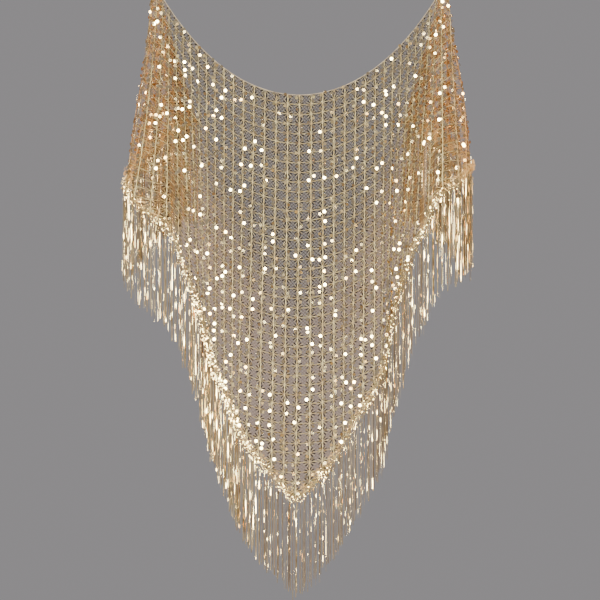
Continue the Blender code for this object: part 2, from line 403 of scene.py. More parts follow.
def drape_group():
    """Takes geometry laid out on the flat cut, x across, y down and z off the cloth, and hangs it"""
    tree, given, out = new_tree("drape", (("Geometry", "Geometry", None), ("Cloth", "Object", None)))
    cloth = put(tree, "GeometryNodeObjectInfo", {"Object": given.outputs["Cloth"]}).outputs["Geometry"]
    cut = named(tree, "cut")
    x, y, z = put(tree, "ShaderNodeSeparateXYZ",
                  {0: put(tree, "GeometryNodeInputPosition").outputs[0]}).outputs
    at = joined_vector(tree, x, y)
    read = {}
    for what, value in (
        ("place", put(tree, "GeometryNodeInputPosition").outputs[0]),
        ("normal", put(tree, "GeometryNodeInputNormal").outputs[0]),
    ):
        inputs = {"Mesh": cloth, "Value": value, "UV Map": cut, "Sample UV": at}
        read[what] = put(tree, "GeometryNodeSampleUVSurface", inputs, data_type="FLOAT_VECTOR").outputs
    off = scaled(tree, read["normal"][0], z)
    place = vector_sum(tree, "ADD", read["place"][0], off)
    hung = put(tree, "GeometryNodeSetPosition", {"Geometry": given.outputs["Geometry"], "Position": place})
    outside = put(tree, "FunctionNodeBooleanMath", {0: read["place"][1]}, operation="NOT").outputs[0]
    kept = put(tree, "GeometryNodeCaptureAttribute", {"Geometry": given.outputs["Geometry"]})
    kept.capture_items.new("BOOLEAN", "outside")
    tree.links.new(outside, kept.inputs["outside"])
    marked = put(tree, "GeometryNodeStoreNamedAttribute",
                 {"Geometry": kept.outputs["Geometry"], "Name": "across", "Value": x},
                 data_type="FLOAT", domain="POINT").outputs[0]
    tree.links.new(marked, hung.inputs["Geometry"])
    inputs = {"Geometry": hung.outputs[0], "Selection": kept.outputs["outside"]}
    trimmed = put(tree, "GeometryNodeDeleteGeometry", inputs, domain="POINT").outputs[0]
    tree.links.new(trimmed, out.inputs["Geometry"])
    return tree


def end_share(tree, across, limits=END_STARTS):
    """Whether a place of the flat cut belongs to a folded end, from 0 to 1"""
    inputs = {"Value": sum_of(tree, "ABSOLUTE", across), "From Min": limits[0], "From Max": limits[1]}
    return put(tree, "ShaderNodeMapRange", inputs, interpolation_type="SMOOTHSTEP").outputs[0]


def material(name):
    """A new material with its tree and its shader"""
    made = bpy.data.materials.new(name)
    made.use_nodes = True
    return made, made.node_tree, made.node_tree.nodes["Principled BSDF"]


def inner_share(tree, end, outermost=0.0):
    """How far a place lies inside the folded ends, where light comes through other layers of gold, and colour there is
    tinted with painted light and shade
    """
    place = put(tree, "ShaderNodeTexCoord").outputs["Object"]
    back = put(tree, "ShaderNodeSeparateXYZ", {0: place}).outputs[1]
    inputs = {"Value": back, "From Min": OUTER_FOLDS[0], "From Max": OUTER_FOLDS[1], "To Min": 1.0,
              "To Max": outermost}
    inner = put(tree, "ShaderNodeMapRange", inputs, interpolation_type="SMOOTHSTEP").outputs[0]
    return sum_of(tree, "MULTIPLY", end, inner)


def toned(tree, amount, first, second):
    """A mix of two colours"""
    mix = put(tree, "ShaderNodeMix", data_type="RGBA")
    for number, value in ((0, amount), (6, first), (7, second)):
        if isinstance(value, bpy.types.NodeSocket):
            tree.links.new(value, mix.inputs[number])
        else:
            mix.inputs[number].default_value = value
    return mix


def metal_thread_group():
    """Tarnish, glints and twist of metal thread, over a piece's own place in space, with painted light and shade as a
    tint inside the folded ends
    """
    tree = bpy.data.node_groups.new("metal thread", "ShaderNodeTree")
    for label, kind, value in (
        ("Bright", "Color", (0.85, 0.70, 0.45, 1.0)),
        ("Deep", "Color", (0.45, 0.28, 0.12, 1.0)),
        ("Patch Scale", "Float", 60.0),
        ("Twist Scale", "Float", 900.0),
        ("Twist Depth", "Float", 0.3),
        ("Painted Fold Light", "Color", (0.88, 0.50, 0.20, 1.0)),
        ("Painted Fold Light Share", "Float", 0.75),
        ("End Starts", "Float", END_STARTS[0]),
        ("End Full", "Float", END_STARTS[1]),
    ):
        tree.interface.new_socket(label, in_out="INPUT", socket_type="NodeSocket" + kind).default_value = value
    tree.interface.new_socket("Color", in_out="OUTPUT", socket_type="NodeSocketColor")
    tree.interface.new_socket("Normal", in_out="OUTPUT", socket_type="NodeSocketVector")
    tree.interface.new_socket("Inner", in_out="OUTPUT", socket_type="NodeSocketFloat")
    given, out = tree.nodes.new("NodeGroupInput"), tree.nodes.new("NodeGroupOutput")
    place = put(tree, "ShaderNodeTexCoord").outputs["Object"]
    patches = put(tree, "ShaderNodeTexNoise",
                  {"Vector": place, "Scale": given.outputs["Patch Scale"], "Detail": 2.0}).outputs["Fac"]
    fine = put(tree, "ShaderNodeTexNoise",
               {"Vector": place, "Scale": given.outputs["Twist Scale"], "Detail": 1.0}).outputs["Fac"]
    amount = put(tree, "ShaderNodeMapRange",
                 {"Value": sum_of(tree, "ADD", patches, sum_of(tree, "MULTIPLY", fine, 0.35)),
                  "From Min": 0.5, "From Max": 0.85}).outputs[0]
    mix = toned(tree, amount, given.outputs["Bright"], given.outputs["Deep"])
    across = put(tree, "ShaderNodeAttribute", attribute_name="across").outputs["Fac"]
    end = end_share(tree, across, (given.outputs["End Starts"], given.outputs["End Full"]))
    tree.links.new(inner_share(tree, end), out.inputs["Inner"])
    # Painted light and shade: colour inside the folded ends is mixed toward the colour given for the folds
    painted_fold_light_share = sum_of(tree, "MULTIPLY", inner_share(tree, end, 0.5), given.outputs["Painted Fold Light Share"])
    mix = toned(tree, painted_fold_light_share, mix.outputs[2], given.outputs["Painted Fold Light"])
    bump = put(tree, "ShaderNodeBump",
               {"Height": fine, "Strength": given.outputs["Twist Depth"], "Distance": 0.0005})
    tree.links.new(mix.outputs[2], out.inputs["Color"])
    tree.links.new(bump.outputs[0], out.inputs["Normal"])
    return tree


def thread_material(name, group, bright, deep, folds, metallic, roughness,
                    depth=0.3, ends=END_STARTS, share=0.85, dull=0.0, worn=0.0, shine=0.5):
    """A finish of metal thread with painted light and shade inside the folded ends, and with long worn stretches and
    painted light on the fringe in plain view where it is given any
    """
    made, tree, shader = material(name)
    effect = put(tree, "ShaderNodeGroup", node_tree=group)
    effect.inputs["Bright"].default_value = (*bright, 1.0)
    effect.inputs["Deep"].default_value = (*deep, 1.0)
    # The colour given for the folds is painted light and shade: inter-reflected light and shade painted inside the
    # folded ends
    effect.inputs["Painted Fold Light"].default_value = (*folds, 1.0)
    effect.inputs["Painted Fold Light Share"].default_value = share
    effect.inputs["End Starts"].default_value, effect.inputs["End Full"].default_value = ends
    effect.inputs["Twist Depth"].default_value = depth
    colour = effect.outputs["Color"]
    tree.links.new(effect.outputs["Normal"], shader.inputs["Normal"])
    rough = sum_of(tree, "MULTIPLY_ADD", effect.outputs["Inner"], dull, roughness)
    shader.inputs["Metallic"].default_value = metallic
    shader.inputs["Specular IOR Level"].default_value = shine
    if worn:
        place = put(tree, "ShaderNodeTexCoord").outputs["Object"]
        stretched = vector_sum(tree, "MULTIPLY", place, (1.0, 1.0, 0.05))
        noise = put(tree, "ShaderNodeTexNoise", {"Vector": stretched, "Scale": 700.0, "Detail": 0.0}).outputs["Fac"]
        lively = put(tree, "ShaderNodeAttribute", attribute_name="lively").outputs["Fac"]
        noise = sum_of(tree, "MULTIPLY_ADD", lively, -0.10, noise)
        wear = put(tree, "ShaderNodeMapRange", {"Value": noise, "From Min": 1.0 - worn - 0.04,
                                                "From Max": 1.0 - worn + 0.04}).outputs[0]
        out = sum_of(tree, "ABSOLUTE", put(tree, "ShaderNodeSeparateXYZ", {0: place}).outputs[0])
        seen = put(tree, "ShaderNodeMapRange", {"Value": out, "From Min": SEEN_FRINGE[0], "From Max": SEEN_FRINGE[1]},
                   interpolation_type="SMOOTHSTEP").outputs[0]
        hidden = sum_of(tree, "MULTIPLY", effect.outputs["Inner"], sum_of(tree, "SUBTRACT", 1.0, seen))
        rough = sum_of(tree, "MULTIPLY_ADD", hidden, dull, roughness)
        rough = sum_of(tree, "MULTIPLY_ADD", wear, 0.5, rough)
        # Painted light: fringe that hangs in plain view, out of the folds, is lightened toward the bright colour
        colour = toned(tree, sum_of(tree, "MULTIPLY", seen, 0.30), colour, (*bright, 1.0)).outputs[2]
        covered = sum_of(tree, "MULTIPLY", wear, sum_of(tree, "MULTIPLY_ADD", lively, -0.22, 1.04))
        colour = toned(tree, covered, colour, (*WORN, 1.0)).outputs[2]
        plain = sum_of(tree, "SUBTRACT", 1.0, wear)
        tree.links.new(sum_of(tree, "MULTIPLY", plain, metallic), shader.inputs["Metallic"])
    tree.links.new(colour, shader.inputs["Base Color"])
    tree.links.new(rough, shader.inputs["Roughness"])
    return made


def sequin_material():
    """Mirror gold, each sequin with its own tone and polish, and with painted light inside the folded ends"""
    made, tree, shader = material("sequin foil")
    tone = put(tree, "ShaderNodeAttribute", attribute_name="tone").outputs["Fac"]
    ramp = put(tree, "ShaderNodeValToRGB", {"Fac": tone})
    stops = ((0.0, (0.92, 0.60, 0.26)), (0.20, (0.92, 0.73, 0.48)), (1.0, (1.0, 0.87, 0.58)))
    while len(ramp.color_ramp.elements) < len(stops):
        ramp.color_ramp.elements.new(0.5)
    for element, (place, colour) in zip(ramp.color_ramp.elements, stops):
        element.position = place
        element.color = (*colour, 1.0)
    across = put(tree, "ShaderNodeAttribute", attribute_name="across").outputs["Fac"]
    # Painted inter-reflected light: sequins inside the folded ends are tinted orange
    painted_fold_light_share = sum_of(tree, "MULTIPLY", inner_share(tree, end_share(tree, across), 0.5), 0.9)
    colour = toned(tree, painted_fold_light_share, ramp.outputs["Color"], (1.0, 0.60, 0.24, 1.0)).outputs[2]
    tree.links.new(colour, shader.inputs["Base Color"])
    rough = put(tree, "ShaderNodeMapRange", {"Value": tone, "To Min": 0.12, "To Max": 0.06}).outputs[0]
    tree.links.new(rough, shader.inputs["Roughness"])
    shader.inputs["Metallic"].default_value = 1.0
    return made


def ground_material():
    """The fine see-through ground between the threads, with painted light and shade inside the folded ends"""
    made, tree, shader = material("fine ground net")
    cut = put(tree, "ShaderNodeUVMap", uv_map="cut").outputs[0]
    lines = []
    for turn in (math.pi / 4.0, -math.pi / 4.0):
        turned = put(tree, "ShaderNodeMapping",
                     {"Vector": cut, "Rotation": (0.0, 0.0, turn), "Scale": (1.0, 1.0, 1.0)}).outputs[0]
        wave = put(tree, "ShaderNodeTexWave", {"Vector": turned, "Scale": 70.0, "Distortion": 1.5,
                                               "Detail": 1.0, "Detail Scale": 40.0}).outputs["Fac"]
        lines.append(wave)
    most = sum_of(tree, "MAXIMUM", lines[0], lines[1])
    across, down, _ = put(tree, "ShaderNodeSeparateXYZ", {0: cut}).outputs
    end = end_share(tree, across, DARK_ENDS)
    inner = inner_share(tree, end)
    lower = put(tree, "ShaderNodeMapRange", {"Value": down, "From Min": 0.26, "From Max": 0.56},
                interpolation_type="SMOOTHSTEP").outputs[0]
    thinner = sum_of(tree, "MAXIMUM", sum_of(tree, "MULTIPLY", inner, 0.75), sum_of(tree, "MULTIPLY", lower, 0.50))
    alpha = put(tree, "ShaderNodeMapRange", {"Value": most, "From Min": 0.70, "From Max": 1.0,
                                             "To Min": 0.16, "To Max": 0.66}).outputs[0]
    alpha = sum_of(tree, "MULTIPLY", alpha, sum_of(tree, "SUBTRACT", 1.0, thinner))
    patches = put(tree, "ShaderNodeTexNoise", {"Vector": cut, "Scale": 40.0}).outputs["Fac"]
    ramp = put(tree, "ShaderNodeValToRGB", {"Fac": patches})
    ramp.color_ramp.elements[0].position = 0.35
    ramp.color_ramp.elements[0].color = (0.060, 0.036, 0.018, 1.0)
    ramp.color_ramp.elements[1].position = 0.70
    ramp.color_ramp.elements[1].color = (0.130, 0.085, 0.045, 1.0)
    reach = sum_of(tree, "ADD", sum_of(tree, "ABSOLUTE", across), down)
    outer = put(tree, "ShaderNodeMapRange", {"Value": reach, "From Min": 0.30, "From Max": 0.60, "To Max": 0.68},
                interpolation_type="SMOOTHSTEP").outputs[0]
    warmer = toned(tree, outer, ramp.outputs["Color"], (0.64, 0.32, 0.13, 1.0)).outputs[2]
    ruffle = put(tree, "ShaderNodeTexNoise", {"Vector": cut, "Scale": 260.0, "Detail": 1.0}).outputs["Fac"]
    specks = put(tree, "ShaderNodeMapRange", {"Value": ruffle, "From Min": 0.42, "From Max": 0.58}).outputs[0]
    # Painted inter-reflected light and shade inside the folded ends: orange with dark specks
    folded = toned(tree, specks, (0.12, 0.055, 0.020, 1.0), (0.82, 0.41, 0.15, 1.0)).outputs[2]
    painted_fold_light_share = sum_of(tree, "MULTIPLY", inner_share(tree, end, 0.5), 0.95)
    colour = toned(tree, painted_fold_light_share, warmer, folded).outputs[2]
    near_hem = put(tree, "ShaderNodeMapRange", {"Value": reach, "From Min": HALF_EDGE - HEM_BAND[0],
                                                "From Max": HALF_EDGE - HEM_BAND[1]},
                   interpolation_type="SMOOTHSTEP").outputs[0]
    gaps = put(tree, "ShaderNodeMapRange", {"Value": ruffle, "From Min": 0.40, "From Max": 0.60}).outputs[0]
    band = sum_of(tree, "MULTIPLY", near_hem, sum_of(tree, "MULTIPLY_ADD", gaps, 0.85, 0.10))
    alpha = sum_of(tree, "MAXIMUM", alpha, band)
    tree.links.new(alpha, shader.inputs["Alpha"])
    brown = toned(tree, specks, (0.14, 0.075, 0.032, 1.0), (0.74, 0.48, 0.24, 1.0)).outputs[2]
    colour = toned(tree, near_hem, colour, brown).outputs[2]
    tree.links.new(colour, shader.inputs["Base Color"])
    shader.inputs["Roughness"].default_value = 0.7
    shader.inputs["Specular IOR Level"].default_value = 0.1
    return made


def make_cloth(finish):
    """The ground net: an open shell, whose UV map is the flat cut in metres"""
    corner = HELD_AT * math.sqrt(2.0)
    half = np.concatenate([
        np.linspace(0.0, corner, FRONT_COLUMNS + 1),
        np.linspace(corner, HALF_HEM, END_COLUMNS + 1)[1:],
    ])
    least = first_share(half)[:, None]
    rows = np.linspace(0.0, 1.0, ROWS + 1)[None, :]
    share = (least + (1.0 - least) * rows).ravel()
    hem = np.repeat(half, ROWS + 1)
    across, down = flat_place(hem, share)
    shape = (len(half), ROWS + 1)
    hung = {side: hang(side, hem, share).reshape(*shape, 3) for side in SIDES}
    middle = 0.5 * (hung["left"][:1] + hung["right"][:1])
    places = np.concatenate([hung["left"][:0:-1], middle, hung["right"][1:]])
    across, down = across.reshape(shape), down.reshape(shape)
    across = np.concatenate([-across[:0:-1], across])
    down = np.concatenate([down[:0:-1], down])
    places[:, :, 1] -= crease(across, down)
    columns, levels = across.shape
    first = (np.arange(columns - 1)[:, None] * levels + np.arange(levels - 1)[None, :]).ravel()
    faces = np.stack([first, first + 1, first + levels + 1, first + levels], axis=1)
    mesh = bpy.data.meshes.new("net_ground")
    mesh.from_pydata(places.reshape(-1, 3).tolist(), [], faces.tolist())
    cut = mesh.uv_layers.new(name="cut")
    flat = np.stack([across.ravel(), down.ravel()], axis=1)
    cut.data.foreach_set("uv", flat[faces.ravel()].astype(np.float32).ravel())
    mesh.shade_smooth()
    mesh.materials.append(finish)
    made = bpy.data.objects.new("net_ground", mesh)
    bpy.context.scene.collection.objects.link(made)
    return made


def grown(name, tree, values, base=None):
    """Runs a tree on a base mesh and keeps its result as a plain mesh"""
    mesh = base or bpy.data.meshes.new(name + "_base")
    piece = bpy.data.objects.new(name, mesh)
    bpy.context.scene.collection.objects.link(piece)
    modifier = piece.modifiers.new("grown", "NODES")
    modifier.node_group = tree
    for item in tree.interface.items_tree:
        if item.in_out == "INPUT" and item.name in values:
            modifier[item.identifier] = values[item.name]
    graph = bpy.context.evaluated_depsgraph_get()
    result = bpy.data.meshes.new_from_object(piece.evaluated_get(graph))
    result.name = name
    piece.modifiers.remove(modifier)
    piece.data = result
    return piece


def lattice(tree, given):
    """The net's crossings on the flat cut, as a grid of points and of edges"""
    across, down = given.outputs["Cell Across"], given.outputs["Cell Down"]
    columns = 2 * math.ceil(HALF_EDGE / CELL_ACROSS) + 1
    rows = math.ceil(HALF_EDGE / CELL_DOWN) + 1
    grid = put(tree, "GeometryNodeMeshGrid", {
        "Size X": sum_of(tree, "MULTIPLY", across, columns - 1.0),
        "Size Y": sum_of(tree, "MULTIPLY", down, rows - 1.0),
        "Vertices X": columns,
        "Vertices Y": rows,
    }).outputs["Mesh"]
    shift = joined_vector(tree, 0.0, sum_of(tree, "MULTIPLY", down, (rows - 1.0) / 2.0))
    return put(tree, "GeometryNodeTransform", {"Geometry": grid, "Translation": shift}).outputs[0]


def outside_cut(tree, margin):
    """Whether a place lies off the flat cut, or nearer to the hem than the margin"""
    place = put(tree, "GeometryNodeInputPosition").outputs[0]
    x, y, _ = put(tree, "ShaderNodeSeparateXYZ", {0: place}).outputs
    reach = sum_of(tree, "ADD", sum_of(tree, "ABSOLUTE", x), y)
    return sum_of(tree, "GREATER_THAN", reach, HALF_EDGE - margin * math.sqrt(2.0))


def threads_tree(name, upright, drape):
    """The net's threads in one direction: flattened, slightly wavy, and hung on the cloth"""
    tree, given, out = new_tree(name, (
        ("Cloth", "Object", None),
        ("Cell Across", "Float", CELL_ACROSS),
        ("Cell Down", "Float", CELL_DOWN),
        ("Half Width", "Float", 0.001),
        ("Half Thickness", "Float", 0.0005),
        ("Waviness", "Float", 0.0012),
        ("Step", "Float", 0.0055),
        ("Finish", "Material", None),
    ))
    grid = lattice(tree, given)
    ends = put(tree, "GeometryNodeInputMeshEdgeVertices")
    run = vector_sum(tree, "SUBTRACT", ends.outputs["Position 1"], ends.outputs["Position 2"])
    parts = put(tree, "ShaderNodeSeparateXYZ", {0: run}).outputs
    wrong = sum_of(tree, "GREATER_THAN", sum_of(tree, "ABSOLUTE", parts[0 if upright else 1]), 0.001)
    lines = put(tree, "GeometryNodeDeleteGeometry", {"Geometry": grid, "Selection": wrong},
                domain="EDGE").outputs[0]
    curves = put(tree, "GeometryNodeMeshToCurve", {"Mesh": lines}).outputs[0]
    curves = put(tree, "GeometryNodeResampleCurve", {"Curve": curves, "Length": given.outputs["Step"]},
                 mode="LENGTH").outputs[0]
    curves = put(tree, "GeometryNodeDeleteGeometry",
                 {"Geometry": curves, "Selection": outside_cut(tree, 0.0)}, domain="POINT").outputs[0]
    place = put(tree, "GeometryNodeInputPosition").outputs[0]
    waves = put(tree, "ShaderNodeTexNoise", {"Vector": place, "Scale": 55.0, "Detail": 1.0},
                noise_dimensions="3D").outputs["Color"]
    centred = vector_sum(tree, "SUBTRACT", waves, (0.5, 0.5, 0.5))
    flat_waves = vector_sum(tree, "MULTIPLY", centred, (2.0, 2.0, 1.0))
    offset = scaled(tree, flat_waves, given.outputs["Waviness"])
    curves = put(tree, "GeometryNodeSetPosition", {"Geometry": curves, "Offset": offset}).outputs[0]
    curves = put(tree, "GeometryNodeSetCurveNormal", {"Curve": curves}, mode="Z_UP").outputs[0]
    ring = put(tree, "GeometryNodeCurvePrimitiveCircle", {"Resolution": 4, "Radius": 1.0}).outputs[0]
    size = joined_vector(tree, given.outputs["Half Width"], given.outputs["Half Thickness"], 1.0)
    ring = put(tree, "GeometryNodeTransform", {"Geometry": ring, "Scale": size}).outputs[0]
    tubes = put(tree, "GeometryNodeCurveToMesh",
                {"Curve": curves, "Profile Curve": ring, "Fill Caps": True}).outputs[0]
    finish_tree(tree, given, out, tubes, drape)
    return tree


def finish_tree(tree, given, out, geometry, drape=None):
    """The end of every tree: realize the instances, hang what lies flat, and set the material"""
    real = put(tree, "GeometryNodeRealizeInstances", {"Geometry": geometry}).outputs[0]
    if drape:
        real = hang_group(tree, real, given, drape)
    real = put(tree, "GeometryNodeSetMaterial",
               {"Geometry": real, "Material": given.outputs["Finish"]}).outputs[0]
    tree.links.new(real, out.inputs["Geometry"])


def hang_group(tree, geometry, given, drape):
    """Places the drape group in a tree"""
    node = tree.nodes.new("GeometryNodeGroup")
    node.node_tree = drape
    tree.links.new(geometry, node.inputs["Geometry"])
    tree.links.new(given.outputs["Cloth"], node.inputs["Cloth"])
    return node.outputs["Geometry"]


def stars_tree(drape):
    """Spokes round every crossing of the net"""
    tree, given, out = new_tree("stars", (
        ("Cloth", "Object", None),
        ("Cell Across", "Float", CELL_ACROSS),
        ("Cell Down", "Float", CELL_DOWN),
        ("Spokes", "Int", SPOKES),
        ("First Turn", "Float", 0.0),
        ("Inner End", "Float", PALE_SPOKE[0]),
        ("Outer End", "Float", PALE_SPOKE[1]),
        ("Half Width", "Float", PALE_SPOKE[2]),
        ("Half Thickness", "Float", 0.00025),
        ("Lift", "Float", 0.0),
        ("Shrink In Ends", "Float", 0.0),
        ("Seed", "Int", 1),
        ("Finish", "Material", None),
    ))
    around = put(tree, "GeometryNodeMeshCircle", {"Vertices": given.outputs["Spokes"], "Radius": 0.001})
    inner, outer = given.outputs["Inner End"], given.outputs["Outer End"]
    line = put(tree, "GeometryNodeCurvePrimitiveLine", {
        "Start": joined_vector(tree, inner, 0.0, given.outputs["Lift"]),
        "End": joined_vector(tree, outer, 0.0, given.outputs["Lift"])}).outputs[0]
    line = put(tree, "GeometryNodeSetCurveNormal", {"Curve": line}, mode="Z_UP").outputs[0]
    ring = put(tree, "GeometryNodeCurvePrimitiveCircle", {"Resolution": 3, "Radius": 1.2}).outputs[0]
    size = joined_vector(tree, given.outputs["Half Width"], given.outputs["Half Thickness"], 1.0)
    ring = put(tree, "GeometryNodeTransform", {"Geometry": ring, "Scale": size}).outputs[0]
    spoke = put(tree, "GeometryNodeCurveToMesh",
                {"Curve": line, "Profile Curve": ring, "Fill Caps": True}).outputs[0]
    place = put(tree, "GeometryNodeInputPosition").outputs[0]
    facing = put(tree, "FunctionNodeAlignRotationToVector", {"Vector": place}, axis="X",
                 pivot_axis="Z").outputs[0]
    centred = put(tree, "GeometryNodeSetPosition",
                  {"Geometry": around.outputs[0], "Position": (0.0, 0.0, 0.0)})
    kept = put(tree, "GeometryNodeCaptureAttribute", {"Geometry": around.outputs[0]})
    kept.capture_items.new("VECTOR", "outward")
    tree.links.new(place, kept.inputs["outward"])
    tree.links.new(kept.outputs["Geometry"], centred.inputs["Geometry"])
    tree.links.new(kept.outputs["outward"], facing.node.inputs["Vector"])
    star = put(tree, "GeometryNodeInstanceOnPoints",
               {"Points": centred.outputs[0], "Instance": spoke, "Rotation": facing}).outputs[0]
    star = put(tree, "GeometryNodeRealizeInstances", {"Geometry": star}).outputs[0]
    grid = lattice(tree, given)
    points = put(tree, "GeometryNodeDeleteGeometry",
                 {"Geometry": grid, "Selection": outside_cut(tree, 0.004)}, domain="POINT").outputs[0]
    turn = random_between(tree, -0.22, 0.22, given.outputs["Seed"])
    turn = sum_of(tree, "ADD", turn, given.outputs["First Turn"])
    size = random_between(tree, 0.84, 1.08, sum_of(tree, "ADD", given.outputs["Seed"], 7.0))
    x = put(tree, "ShaderNodeSeparateXYZ", {0: put(tree, "GeometryNodeInputPosition").outputs[0]}).outputs[0]
    shrunk = sum_of(tree, "MULTIPLY", end_share(tree, x, DARK_ENDS), given.outputs["Shrink In Ends"])
    size = sum_of(tree, "MULTIPLY", size, sum_of(tree, "SUBTRACT", 1.0, shrunk))
    stars = put(tree, "GeometryNodeInstanceOnPoints", {
        "Points": points, "Instance": star,
        "Rotation": put(tree, "FunctionNodeAxisAngleToRotation",
                        {"Axis": (0.0, 0.0, 1.0), "Angle": turn}).outputs[0],
        "Scale": joined_vector(tree, size, size, 1.0),
    }).outputs[0]
    finish_tree(tree, given, out, stars, drape)
    return tree


def read_cloth(tree, given, flat):
    """Place and normal of the cloth at places of the flat cut"""
    cloth = put(tree, "GeometryNodeObjectInfo", {"Object": given.outputs["Cloth"]}).outputs["Geometry"]
    cut = named(tree, "cut")
    place = put(tree, "GeometryNodeInputPosition").outputs[0]
    normal = put(tree, "GeometryNodeInputNormal").outputs[0]
    found = []
    for value in (place, normal):
        inputs = {"Mesh": cloth, "Value": value, "UV Map": cut, "Sample UV": flat}
        found.append(put(tree, "GeometryNodeSampleUVSurface", inputs, data_type="FLOAT_VECTOR").outputs[0])
    return found


def sequins_tree():
    """Flat sequins beside the upright threads, each tilted its own way"""
    tree, given, out = new_tree("sequins", (
        ("Cloth", "Object", None),
        ("Cell Across", "Float", CELL_ACROSS),
        ("Cell Down", "Float", CELL_DOWN),
        ("Each Cell", "Int", SEQUINS_A_CELL),
        ("Radius", "Float", SEQUIN),
        ("Thickness", "Float", 0.00022),
        ("Tilt", "Float", 0.275),
        ("More Tilt At The Top", "Float", 0.38),
        ("Column Tilt", "Float", 0.27),
        ("Beside", "Float", 0.0030),
        ("Off The Cloth", "Float", 0.0020),
        ("Seed", "Int", 11),
        ("Finish", "Material", None),
    ))
    seed = given.outputs["Seed"]
    disc = put(tree, "GeometryNodeMeshCylinder",
               {"Vertices": 10, "Radius": given.outputs["Radius"], "Depth": given.outputs["Thickness"]},
               fill_type="NGON").outputs["Mesh"]
    disc = put(tree, "GeometryNodeSetShadeSmooth", {"Geometry": disc, "Shade Smooth": False}).outputs[0]
    grid = lattice(tree, given)
    points = put(tree, "GeometryNodeMeshToPoints", {"Mesh": grid}).outputs[0]
    points = put(tree, "GeometryNodeDuplicateElements",
                 {"Geometry": points, "Amount": given.outputs["Each Cell"]}, domain="POINT").outputs[0]
    lean = random_between(tree, -1.0, 1.0, seed)
    aside = sum_of(tree, "MULTIPLY", sum_of(tree, "SIGN", lean), given.outputs["Beside"])
    aside = sum_of(tree, "MULTIPLY_ADD", lean, 0.0025, aside)
    level = random_between(tree, -0.5, 0.5, sum_of(tree, "ADD", seed, 1.0))
    level = sum_of(tree, "MULTIPLY", level, given.outputs["Cell Down"])
    points = put(tree, "GeometryNodeSetPosition",
                 {"Geometry": points, "Offset": joined_vector(tree, aside, level)}).outputs[0]
    points = put(tree, "GeometryNodeDeleteGeometry",
                 {"Geometry": points, "Selection": outside_cut(tree, 0.004)}, domain="POINT").outputs[0]
    flat = put(tree, "GeometryNodeInputPosition").outputs[0]
    place, normal = read_cloth(tree, given, flat)
    from_top = put(tree, "ShaderNodeVectorMath", {0: flat, 1: (0.0, 0.06, 0.0)}, operation="DISTANCE").outputs["Value"]
    near_top = put(tree, "ShaderNodeMapRange", {"Value": from_top, "From Max": 0.30, "To Min": 1.0, "To Max": 0.0},
                   interpolation_type="SMOOTHSTEP").outputs[0]
    tilt = sum_of(tree, "MULTIPLY_ADD", near_top, given.outputs["More Tilt At The Top"], given.outputs["Tilt"])
    from_calm = put(tree, "ShaderNodeVectorMath", {0: flat, 1: (*CALM_SEQUINS[:2], 0.0)},
                    operation="DISTANCE").outputs["Value"]
    calm = put(tree, "ShaderNodeMapRange", {"Value": from_calm, "From Min": 0.3 * CALM_SEQUINS[2],
                                            "From Max": CALM_SEQUINS[2], "To Min": 1.0, "To Max": 0.0}).outputs[0]
    tilt = sum_of(tree, "MULTIPLY_ADD", calm, -0.11, tilt)
    tilts = []
    for extra in (2, 4, 6):
        first = random_between(tree, -0.5, 0.5, sum_of(tree, "ADD", seed, float(extra)))
        second = random_between(tree, -0.5, 0.5, sum_of(tree, "ADD", seed, float(extra + 1)))
        both = sum_of(tree, "ADD", first, second)
        tilts.append(sum_of(tree, "MULTIPLY", both, tilt))
    stretched = vector_sum(tree, "MULTIPLY", flat, (1.0, 0.12, 1.0))
    column = put(tree, "ShaderNodeTexNoise", {"Vector": stretched, "Scale": 34.0, "Detail": 0.0}).outputs["Fac"]
    column = sum_of(tree, "MULTIPLY", sum_of(tree, "SUBTRACT", column, 0.5), given.outputs["Column Tilt"])
    facing = vector_sum(tree, "ADD", normal, joined_vector(tree, *tilts))
    facing = vector_sum(tree, "ADD", facing, joined_vector(tree, sum_of(tree, "MULTIPLY", column, 2.0)))
    turn = put(tree, "FunctionNodeAlignRotationToVector", {"Vector": facing}, axis="Z").outputs[0]
    hung = vector_sum(tree, "ADD", place, scaled(tree, normal, given.outputs["Off The Cloth"]))
    kept = put(tree, "GeometryNodeCaptureAttribute", {"Geometry": points})
    kept.capture_items.new("VECTOR", "place")
    kept.capture_items.new("ROTATION", "turn")
    kept.capture_items.new("FLOAT", "across")
    tree.links.new(hung, kept.inputs["place"])
    tree.links.new(turn, kept.inputs["turn"])
    tree.links.new(put(tree, "ShaderNodeSeparateXYZ", {0: flat}).outputs[0], kept.inputs["across"])
    points = put(tree, "GeometryNodeSetPosition",
                 {"Geometry": kept.outputs["Geometry"], "Position": kept.outputs["place"]}).outputs[0]
    points = put(tree, "GeometryNodeStoreNamedAttribute",
                 {"Geometry": points, "Name": "across", "Value": kept.outputs["across"]}, data_type="FLOAT",
                 domain="POINT").outputs[0]
    discs = put(tree, "GeometryNodeInstanceOnPoints",
                {"Points": points, "Instance": disc, "Rotation": kept.outputs["turn"]}).outputs[0]
    tone = random_between(tree, 0.0, 1.0, sum_of(tree, "ADD", seed, 9.0))
    discs = put(tree, "GeometryNodeStoreNamedAttribute",
                {"Geometry": discs, "Name": "tone", "Value": tone}, data_type="FLOAT",
                domain="INSTANCE").outputs[0]
    # A place that misses the cloth reads as the origin, which is clear of the cloth
    here = put(tree, "GeometryNodeInputPosition").outputs[0]
    far = put(tree, "ShaderNodeVectorMath", {0: here}, operation="LENGTH").outputs["Value"]
    missed = sum_of(tree, "LESS_THAN", far, 0.02)
    discs = put(tree, "GeometryNodeDeleteGeometry", {"Geometry": discs, "Selection": missed},
                domain="INSTANCE").outputs[0]
    finish_tree(tree, given, out, discs)
    return tree


